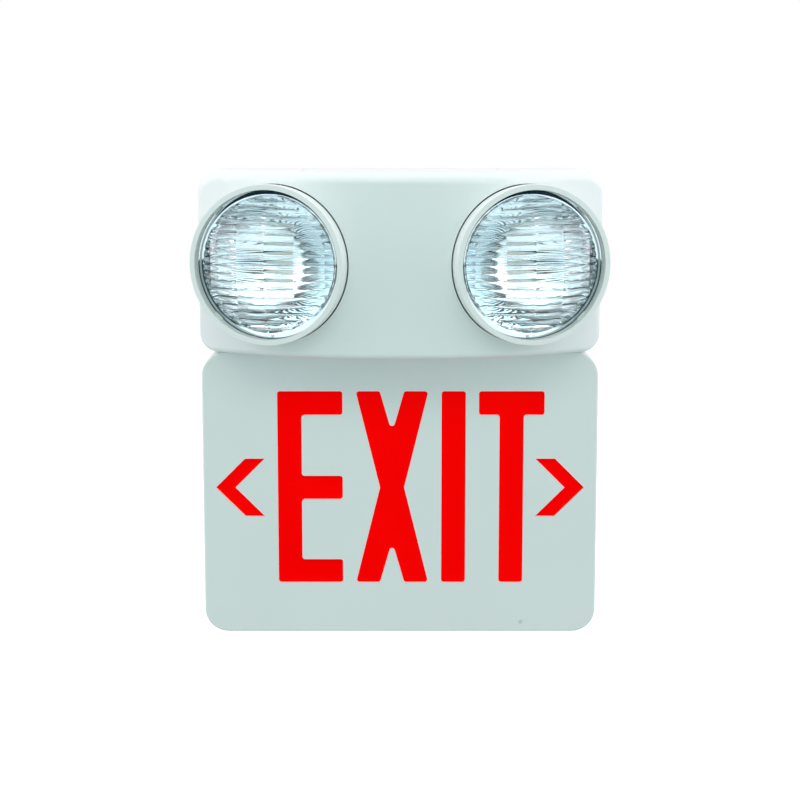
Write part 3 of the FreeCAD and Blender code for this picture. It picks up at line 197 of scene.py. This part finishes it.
def metallised_mirror():
    material, tree = finish("vacuum_metallised_plastic")
    place = add(tree, "ShaderNodeTexCoord")
    haze = add(tree, "ShaderNodeTexNoise", {"Vector": place.outputs["Object"],
                                            "Scale": 1 / (2 * HAZE * MM), "Detail": 2.0})
    bump = add(tree, "ShaderNodeBump", {"Height": haze.outputs["Fac"], "Strength": 0.03,
                                        "Distance": HAZE_DEPTH * MM})
    film = add(tree, "ShaderNodeBsdfPrincipled",
               {"Base Color": linear("#dee9ee"), "Metallic": 1.0, "Roughness": 0.05,
                "Normal": bump.outputs["Normal"]})
    surface(tree, film)
    return material


CLEAR_LENS = clear_polycarbonate()
MIRROR = metallised_mirror()
print(CLEAR_LENS.name, "and", MIRROR.name)

# %% [markdown]
# The pieces inside are hardly seen, but each has the finish of its real one: plated steel
# screws, an extruded aluminium heat sink, green circuit boards, the varnished iron and taped
# coil of the transformer, black cases and the shrink sleeve of the battery. The boards that
# carry diodes are white instead of green, because they stand in the light.

# %% Finishes of the inner pieces
def speckled(name, dark, light, wave, roughness, metallic=0.0):
    """A finish whose tone wanders between two colours in waves of a real length in mm."""
    material, tree = finish(name)
    place = add(tree, "ShaderNodeTexCoord")
    spots = add(tree, "ShaderNodeTexNoise", {"Vector": place.outputs["Object"],
                                             "Scale": 1 / (wave * MM), "Detail": 3.0})
    tone = add(tree, "ShaderNodeMix", {SHARE: spots.outputs["Fac"], UNDER: linear(dark),
                                       OVER: linear(light)}, data_type="RGBA")
    body = add(tree, "ShaderNodeBsdfPrincipled",
               {"Base Color": tone.outputs[MIXED], "Roughness": roughness, "Metallic": metallic})
    surface(tree, body)
    return material


FINISHES = {
    "white_plastic": WHITE_ABS,
    "red_acrylic": RED_ACRYLIC,
    "clear_lens": CLEAR_LENS,
    "mirror_coat": MIRROR,
    "tray_white": speckled("high_reflectance_white", "#f2f3f1", "#f8f8f7", 40, 0.6),
    "circuit_board": speckled("green_solder_mask", "#0f4a2a", "#166038", 6, 0.35),
    "led_body": speckled("silicone_over_phosphor", "#f6f4ea", "#fbfaf3", 2, 0.3),
    "aluminium_sink": speckled("extruded_aluminium", "#b9bcbf", "#cfd2d4", 3, 0.35, 1.0),
    "steel_parts": speckled("zinc_plated_steel", "#a9aaa6", "#c6c7c3", 2, 0.28, 1.0),
    "core_steel": speckled("varnished_laminations", "#3d3f44", "#54575c", 2, 0.4),
    "coil_tape": speckled("yellow_polyester_tape", "#c9a227", "#dab63c", 5, 0.3),
    "black_plastic": speckled("black_moulded_nylon", "#141416", "#202124", 4, 0.45),
    "battery_wrap": speckled("blue_shrink_sleeve", "#1d4f93", "#2861ab", 12, 0.3),
    "button_plastic": speckled("red_button_abs", "#c41c18", "#cf2620", 8, 0.4),
    "pilot_lens": speckled("frosted_light_pipe", "#cdd8d6", "#d8e2e0", 2, 0.25),
}

WHITE_BOARD = speckled("white_solder_mask", "#f3f6f5", "#f9fbfa", 6, 0.4)
slots = {row["node"]: row["material_slot"] for row in frame["record"]["subparts"]}
for name, solid in nodes.items():
    lamp_board = name.endswith("_led_board") or name.endswith("_led_strip")
    solid.data.materials.clear()
    solid.data.materials.append(WHITE_BOARD if lamp_board else FINISHES[slots[name]])
print("finishes:", len(FINISHES) + 1)

# %% [markdown]
# Each lamp is drawn about the centre of its ball, with its own Z along the beam, and then
# turned to where the model's joints say it is. The spin joint's axis is the beam and the tilt
# joint's axis runs across the lamp, so together they give the whole turn.

# %% Where the lamps are
SIDES = ("left", "right")
joints = {joint["name"]: joint for joint in frame["joints"]}


def lamp_matrix(side):
    """From the lamp's own millimetres to metres in the frame."""
    beam = Vector(joints[side + "_spin"]["axis"])
    across = Vector(joints[side + "_tilt"]["axis"])
    turn = Matrix((across, beam.cross(across), beam)).transposed().to_4x4()
    return Matrix.Translation(joints[side + "_spin"]["pos_m"]) @ turn @ Matrix.Scale(MM, 4)


def reach(node, side):
    """How far a solid reaches from the beam, and its lowest and highest place along it, in mm."""
    inverse = lamp_matrix(side).inverted()
    points = [inverse @ vertex.co for vertex in nodes[node].data.vertices]
    radius = max(math.hypot(point.x, point.y) for point in points)
    return radius, min(point.z for point in points), max(point.z for point in points)


for side in SIDES:
    print(side, "lens:", [round(v, 2) for v in reach(side + "_lens", side)])


def piece(name, bm, side, material, slot_name, body, *replaced):
    """Place a lamp piece made in mm, give it its finish and hand it to its body."""
    bmesh.ops.transform(bm, matrix=lamp_matrix(side), verts=bm.verts)
    bmesh.ops.recalc_face_normals(bm, faces=bm.faces)
    mesh = bpy.data.meshes.new(name)
    bm.to_mesh(mesh)
    bm.free()
    thing = bpy.data.objects.new(name, mesh)
    bpy.context.scene.collection.objects.link(thing)
    mesh.materials.append(material)
    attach(thing, body)
    if replaced:
        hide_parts(*replaced)
    print(name, len(mesh.polygons), "faces")
    return thing


def smooth(thing, crease):
    """Shade a piece round, and keep an edge sharp where its faces turn by more than an angle."""
    for polygon in thing.data.polygons:
        polygon.use_smooth = True
    thing.modifiers.new("creases", "EDGE_SPLIT").split_angle = crease


# %% [markdown]
# The lens is what makes the lamp look like a lamp. Its front is a smooth shallow dome. Its
# back is moulded into level ribs about 6 mm apart, cut into columns 22 mm wide, and each
# cell is a small pillow that throws the beam sideways. A grid follows rows and columns
# exactly, so the cells stay crisp. It is cut down to a disc by deleting what lies outside, and
# its stepped edge is then drawn onto the circle.

# %% Disc of cells
ROW, COLUMN = 5.8, 22.2
ROW_STEPS, COLUMN_STEPS = 10, 8
PILLOW_ROW, PILLOW_COLUMN = 1.1, 1.1


def disc_of_cells(bm, radius):
    """A flat grid of rows and columns, trimmed to a circle, and the loop of its edge."""
    rows, columns = math.ceil(2 * radius / ROW), math.ceil(2 * radius / COLUMN)
    made = bmesh.ops.create_grid(bm, x_segments=columns * COLUMN_STEPS,
                                 y_segments=rows * ROW_STEPS, size=0.5)
    bmesh.ops.scale(bm, verts=made["verts"], vec=(columns * COLUMN, rows * ROW, 1))
    outside = [vertex for vertex in bm.verts if vertex.co.length > radius]
    bmesh.ops.delete(bm, geom=outside, context="VERTS")
    loose = [vertex for vertex in bm.verts if len(vertex.link_faces) < 2]
    bmesh.ops.delete(bm, geom=loose, context="VERTS")
    for vertex in bm.verts:
        if vertex.is_boundary:
            vertex.co *= radius / vertex.co.length
    return [edge for edge in bm.edges if edge.is_boundary]


def pillow(across, up):
    """How far a cell of the lens stands out, from 0 at its corners to its full height."""
    row = 2 * ((up / ROW) % 1) - 1
    column = 2 * ((across / COLUMN) % 1) - 1
    return PILLOW_ROW * (1 - row * row) + PILLOW_COLUMN * (1 - column * column)


print("a cell is", COLUMN, "mm wide and", ROW, "mm high, and stands out", pillow(COLUMN / 2, ROW / 2), "mm")

# %% [markdown]
# From the edge of the ribbed back, the section runs out along the flange, up its rim, back to
# the foot of the dome and up a small step. Each stretch is the edge loop drawn out once more.
# The front is a second copy of the disc, raised to the dome, and its edge closes the lens. Two
# small keys on the flange, above and below, keep the ribs level in the ring.

# %% Fluted lens
FIELD, FIELD_WALL, LENS_WALL = 52.5, 2.0, 2.4
FLANGE, STEP = 2.0, 1.5
KEY, KEY_INSET, KEY_SINK = 5.0, 0.5, 0.2
LENS_CREASE = math.radians(9)
# Corners of a mesh that lie closer than this, in mm, are joined into one.
WELD = 0.002


def draw_out(bm, loop, radius, height):
    """Draw the edge loop out to a new radius and height, and return the new loop."""
    made = bmesh.ops.extrude_edge_only(bm, edges=loop)["geom"]
    for vertex in (item for item in made if isinstance(item, bmesh.types.BMVert)):
        flat = math.hypot(vertex.co.x, vertex.co.y)
        vertex.co = (vertex.co.x * radius / flat, vertex.co.y * radius / flat, height)
    return [item for item in made if isinstance(item, bmesh.types.BMEdge) and item.is_boundary]


def add_keys(bm, rim, face, base):
    """Two small blocks on the flange, one at each end of the lens's height."""
    depth, height = rim - KEY_INSET - FIELD, base - face + KEY_SINK
    for end in (-1, 1):
        place = Matrix.Translation((0, end * (FIELD + depth / 2), base - height / 2))
        bmesh.ops.create_cube(bm, size=1, matrix=place @ Matrix.Diagonal((KEY, depth, height, 1)))


def make_lens(side):
    """The whole lens of one lamp, between the rim and the heights of the model's plain one."""
    rim, low, high = reach(side + "_lens", side)
    face, base = low + FLANGE, low + FLANGE + STEP
    rise = high - base
    dome = (FIELD * FIELD + rise * rise) / (2 * rise)
    centre = high - dome
    inner = FIELD - FIELD_WALL
    bm = bmesh.new()
    loop = disc_of_cells(bm, inner)
    back = list(bm.verts)
    front = bmesh.ops.duplicate(bm, geom=bm.faces[:] + bm.edges[:] + back)["geom"]
    for vertex in (item for item in front if isinstance(item, bmesh.types.BMVert)):
        vertex.co *= FIELD / inner
        vertex.co.z = math.sqrt(dome * dome - vertex.co.length_squared) + centre
    for vertex in back:
        ribs = pillow(vertex.co.x, vertex.co.y)
        vertex.co.z = math.sqrt(dome * dome - vertex.co.length_squared) + centre - LENS_WALL - ribs
    for radius, height in ((inner, low), (rim, low), (rim, face), (FIELD, face), (FIELD, base)):
        loop = draw_out(bm, loop, radius, height)
    bmesh.ops.remove_doubles(bm, verts=bm.verts, dist=WELD)
    print("open edges:", sum(edge.is_boundary for edge in bm.edges))
    add_keys(bm, rim, face, base)
    lens = piece(side + "_fluted_lens", bm, side, CLEAR_LENS, "clear_lens", side + "_head", side + "_lens")
    smooth(lens, LENS_CREASE)


for side in SIDES:
    make_lens(side)

# %% [markdown]
# The mirror is a deep bowl whose section is a parabola, so that light from the small source at
# its bottom leaves in a beam. Half of its section is drawn as a closed line: the bowl, the lip
# around its mouth, the back, and the pad that it stands on. That line is spun once around.

# %% Mirror bowl
BOWL_STEPS, TURN_STEPS, MIRROR_WALL, LIP_THICK = 32, 96, 1.2, 1.2
MOUTH_INSET, NECK, PAD, PAD_THICK = 4.6, 9.0, 19.0, 2.0
MIRROR_CREASE = math.radians(35)


def make_mirror(side):
    """The mirror of one lamp, between the rim and the heights of the model's plain one."""
    radius, low, high = reach(side + "_reflector", side)
    mouth, bottom = radius - MOUTH_INSET, low + PAD_THICK
    span = mouth * mouth - NECK * NECK
    outs = [NECK + (mouth - NECK) * step / BOWL_STEPS for step in range(BOWL_STEPS + 1)]
    climb = (high - bottom) / span
    bowl = [Vector((out, 0, bottom + climb * (out * out - NECK * NECK))) for out in outs]
    lip = [Vector((radius, 0, high)), Vector((radius, 0, high - LIP_THICK)),
           Vector((mouth + MIRROR_WALL, 0, high - LIP_THICK))]
    back = [point + Vector((MIRROR_WALL, 0, -MIRROR_WALL / 2)) for point in reversed(bowl[:-1])
            if point.x + MIRROR_WALL > PAD]
    foot = [Vector((PAD, 0, bottom)), Vector((PAD, 0, low)), Vector((NECK, 0, low))]
    bm = bmesh.new()
    verts = [bm.verts.new(point) for point in bowl + lip + back + foot]
    edges = [bm.edges.new(pair) for pair in zip(verts, verts[1:] + verts[:1])]
    bmesh.ops.spin(bm, geom=verts + edges, axis=(0, 0, 1), cent=(0, 0, 0), steps=TURN_STEPS,
                   angle=math.tau, use_merge=True)
    bmesh.ops.remove_doubles(bm, verts=bm.verts, dist=WELD)
    mirror = piece(side + "_mirror_bowl", bm, side, MIRROR, "mirror_coat", side + "_head",
                   side + "_reflector")
    smooth(mirror, MIRROR_CREASE)


for side in SIDES:
    make_mirror(side)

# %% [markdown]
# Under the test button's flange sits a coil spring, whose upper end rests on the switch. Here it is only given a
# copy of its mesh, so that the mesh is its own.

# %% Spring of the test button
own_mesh(nodes["button_spring"])

# %% [markdown]
# The camera stands 1.5 m from the object, a little above it, and looks down on it by 9 degrees,
# so that the top of the housing shows. From that far, a long lens fills the frame and keeps the
# upright lines almost parallel.

# %% Camera
LOOK_AT = Vector((0, -0.032, 0))
PITCH = math.radians(9.1)
DISTANCE = 1.49993
SENSOR, FOCAL_LENGTH = 36.0, 87.0129
camera_data = bpy.data.cameras.new("camera")
camera_data.sensor_width = SENSOR
camera_data.lens = FOCAL_LENGTH
camera = bpy.data.objects.new("camera", camera_data)
camera.location = LOOK_AT + DISTANCE * Vector((0, -math.cos(PITCH), math.sin(PITCH)))
camera.rotation_euler = (math.pi / 2 - PITCH, 0, 0)
bpy.context.scene.collection.objects.link(camera)
bpy.context.scene.camera = camera
print("camera at", [round(v, 3) for v in camera.location], "m")

# %% [markdown]
# The light is that of a white product tent, which the world stands for: light from far away on
# every side. Its colours are chosen by two measures of a direction, how much of it points up
# and how much points ahead, toward the camera. A soft edge fades in between two such values,
# and a stretch of cloth or an opening lies inside all of its edges.

# %% Soft edges in the world
def inside(tree, *edges):
    """1 inside every edge and 0 outside. An edge is a measure, its value at 0 and that at 1."""
    share = 1.0
    for measure, none, full in edges:
        edge = add(tree, "ShaderNodeMapRange", {"Value": measure, "From Min": none, "From Max": full},
                   interpolation_type="SMOOTHSTEP")
        both = add(tree, "ShaderNodeMath", {0: share, 1: edge.outputs["Result"]}, operation="MULTIPLY")
        share = both.outputs[0]
    return share


def laid(tree, under, *coats):
    """A colour with coats laid over it in turn. A coat is a colour and its share, 0 to 1."""
    for colour, share in coats:
        mixed = add(tree, "ShaderNodeMix", {SHARE: share, UNDER: under, OVER: colour},
                    data_type="RGBA")
        under = mixed.outputs[MIXED]
    return under


# %% [markdown]
# The cloth that lights plain surfaces is brightest at the sides, cooler below, dimmer ahead,
# where the camera's opening is, and dimmest above and behind. Mirrors and lenses see the tent
# as bright white cloth with a level slit all along its front and a taller opening in the
# middle, where the camera stands. Every rib of the lamps shows these openings as a dark
# streak. Light that passes through a lens is made stronger, to stand for what its ribs gather.

# %% The tent as a world of light
SIDE_CLOTH, FRONT_CLOTH = (1.27, 1.44, 1.46, 1.0), (0.6, 0.78, 0.76, 1.0)
ROOF_CLOTH, LOW_CLOTH = (0.45, 0.45, 0.45, 1.0), (0.67, 1.25, 1.28, 1.0)
FRONT_EDGE, BACK_EDGE, ROOF_EDGE, LOW_EDGE = (0.35, 0.5), (0.1, -0.1), (0.5, 0.75), (0.15, -0.05)
MIRRORED_WALL, MIRRORED_FRONT, MIRRORED_EDGE = (1.0, 0.98, 1.0, 1.0), (0.84, 0.97, 0.97, 1.0), (0.3, 0.8)
SLIT_FOOT, SLIT_TOP, SLIT_SIDES = (-0.24, -0.16), (0.16, 0.08), (0.3, 0.4)
DOOR_FOOT, DOOR_TOP, DOOR_SIDES = (0.03, 0.09), (0.45, 0.39), (0.72, 0.8)
DARK_ROOM, SEEN_IN_LENS = (0.004, 0.012, 0.016, 1.0), 2.3
WHITE = (1.0, 1.0, 1.0, 1.0)


def tent():
    world = bpy.data.worlds.new("white_tent")
    bpy.context.scene.world = world
    world.use_nodes = True
    tree = world.node_tree
    tree.nodes.clear()
    place = add(tree, "ShaderNodeTexCoord")
    parts = add(tree, "ShaderNodeSeparateXYZ", {"Vector": place.outputs["Generated"]})
    height = parts.outputs["Z"]
    turned = add(tree, "ShaderNodeMath", {0: parts.outputs["Y"], 1: -1.0}, operation="MULTIPLY")
    ahead = turned.outputs[0]
    spread = laid(tree, SIDE_CLOTH,
                  (FRONT_CLOTH, inside(tree, (ahead, *FRONT_EDGE))),
                  (ROOF_CLOTH, inside(tree, (ahead, *BACK_EDGE))),
                  (ROOF_CLOTH, inside(tree, (height, *ROOF_EDGE))),
                  (LOW_CLOTH, inside(tree, (height, *LOW_EDGE))))
    slit = inside(tree, (height, *SLIT_FOOT), (height, *SLIT_TOP), (ahead, *SLIT_SIDES))
    door = inside(tree, (height, *DOOR_FOOT), (height, *DOOR_TOP), (ahead, *DOOR_SIDES))
    openings = add(tree, "ShaderNodeMath", {0: slit, 1: door}, operation="MAXIMUM")
    sharp = laid(tree, MIRRORED_WALL,
                 (MIRRORED_FRONT, inside(tree, (ahead, *MIRRORED_EDGE))),
                 (DARK_ROOM, openings.outputs[0]))
    rays = add(tree, "ShaderNodeLightPath")
    seen = laid(tree, sharp, (spread, rays.outputs["Is Diffuse Ray"]))
    strength = add(tree, "ShaderNodeMapRange", {"Value": rays.outputs["Is Transmission Ray"],
                                                "To Min": 1.0, "To Max": SEEN_IN_LENS})
    cloth = add(tree, "ShaderNodeBackground", {"Color": seen, "Strength": strength.outputs["Result"]})
    backdrop = add(tree, "ShaderNodeBackground", {"Color": WHITE, "Strength": 1.0})
    both = add(tree, "ShaderNodeMixShader", {0: rays.outputs["Is Camera Ray"], 1: cloth.outputs[0],
                                             2: backdrop.outputs[0]})
    add(tree, "ShaderNodeOutputWorld", {"Surface": both.outputs[0]})
    print(world.name, "has", len(tree.nodes), "nodes")


tent()

# %% [markdown]
# The soft boxes are area lights. A large area close by gives soft edges to every shade, and it
# lights the near parts more than the far ones. Two of them stand beside the object, so that the
# outward-turned ends of the bowed housing are brightest. One hangs in front, and a wide one
# high above.

# %% Soft boxes
AIM = Vector((0, 0, 0.1))
SIDE_SIZE, SIDE_POWER, SIDE_COLOUR = (0.5, 0.8), 3.3, (1.0, 0.77, 0.9)


def soft_box(name, place, size, power, colour):
    """A rectangle of light, width and height in m, that faces the object."""
    data = bpy.data.lights.new(name, "AREA")
    data.shape = "RECTANGLE"
    data.size, data.size_y = size
    data.energy = power
    data.color = colour
    lamp = bpy.data.objects.new(name, data)
    lamp.location = place
    lamp.rotation_euler = (AIM - Vector(place)).to_track_quat("-Z", "Y").to_euler()
    bpy.context.scene.collection.objects.link(lamp)
    print(name, power, "W")


soft_box("top_box", (0, -0.1, 1.5), (1.6, 0.8), 4.6, (1.0, 0.92, 0.95))
soft_box("front_box", (0, -0.75, 0.75), (0.9, 0.3), 1.71, (0.904, 1.0, 0.898))
soft_box("left_box", (-0.9, -0.05, 0.5), SIDE_SIZE, SIDE_POWER, SIDE_COLOUR)
soft_box("right_box", (0.9, -0.05, 0.5), SIDE_SIZE, SIDE_POWER, SIDE_COLOUR)

# %% [markdown]
# The floor is pale and matt, well below the object. It takes what shadow there is, and to the
# camera, the mirrors and the lenses it gives enough light of its own to run into the white
# background unseen.

# %% Floor
FLOOR_HEIGHT, FLOOR_HALF = -0.6, 6


def pale_floor():
    bm = bmesh.new()
    bmesh.ops.create_grid(bm, x_segments=1, y_segments=1, size=FLOOR_HALF)
    bmesh.ops.translate(bm, verts=bm.verts, vec=(0, 0, FLOOR_HEIGHT))
    mesh = bpy.data.meshes.new("floor")
    bm.to_mesh(mesh)
    bm.free()
    floor = bpy.data.objects.new("floor", mesh)
    bpy.context.scene.collection.objects.link(floor)
    paint, tree = finish("pale_floor")
    rays = add(tree, "ShaderNodeLightPath")
    matt = add(tree, "ShaderNodeBsdfDiffuse", {"Color": linear("#c4cac8")})
    mirrored = add(tree, "ShaderNodeMath", {0: rays.outputs["Is Glossy Ray"],
                                            1: rays.outputs["Is Transmission Ray"]},
                   operation="MAXIMUM")
    seen = add(tree, "ShaderNodeMath", {0: rays.outputs["Is Camera Ray"], 1: mirrored.outputs[0]},
               operation="MAXIMUM")
    glow = add(tree, "ShaderNodeEmission", {"Color": WHITE, "Strength": seen.outputs[0]})
    both = add(tree, "ShaderNodeAddShader", {0: matt.outputs[0], 1: glow.outputs[0]})
    surface(tree, both)
    mesh.materials.append(paint)


pale_floor()
print("floor", 2 * FLOOR_HALF, "m wide, at a height of", FLOOR_HEIGHT, "m")

# %% [markdown]
# The plain view transform shows colours as they are written, with no film look over them. The
# dressed object has to be as large as the imported model.

# %% View transform
bpy.context.scene.view_settings.view_transform = "Standard"
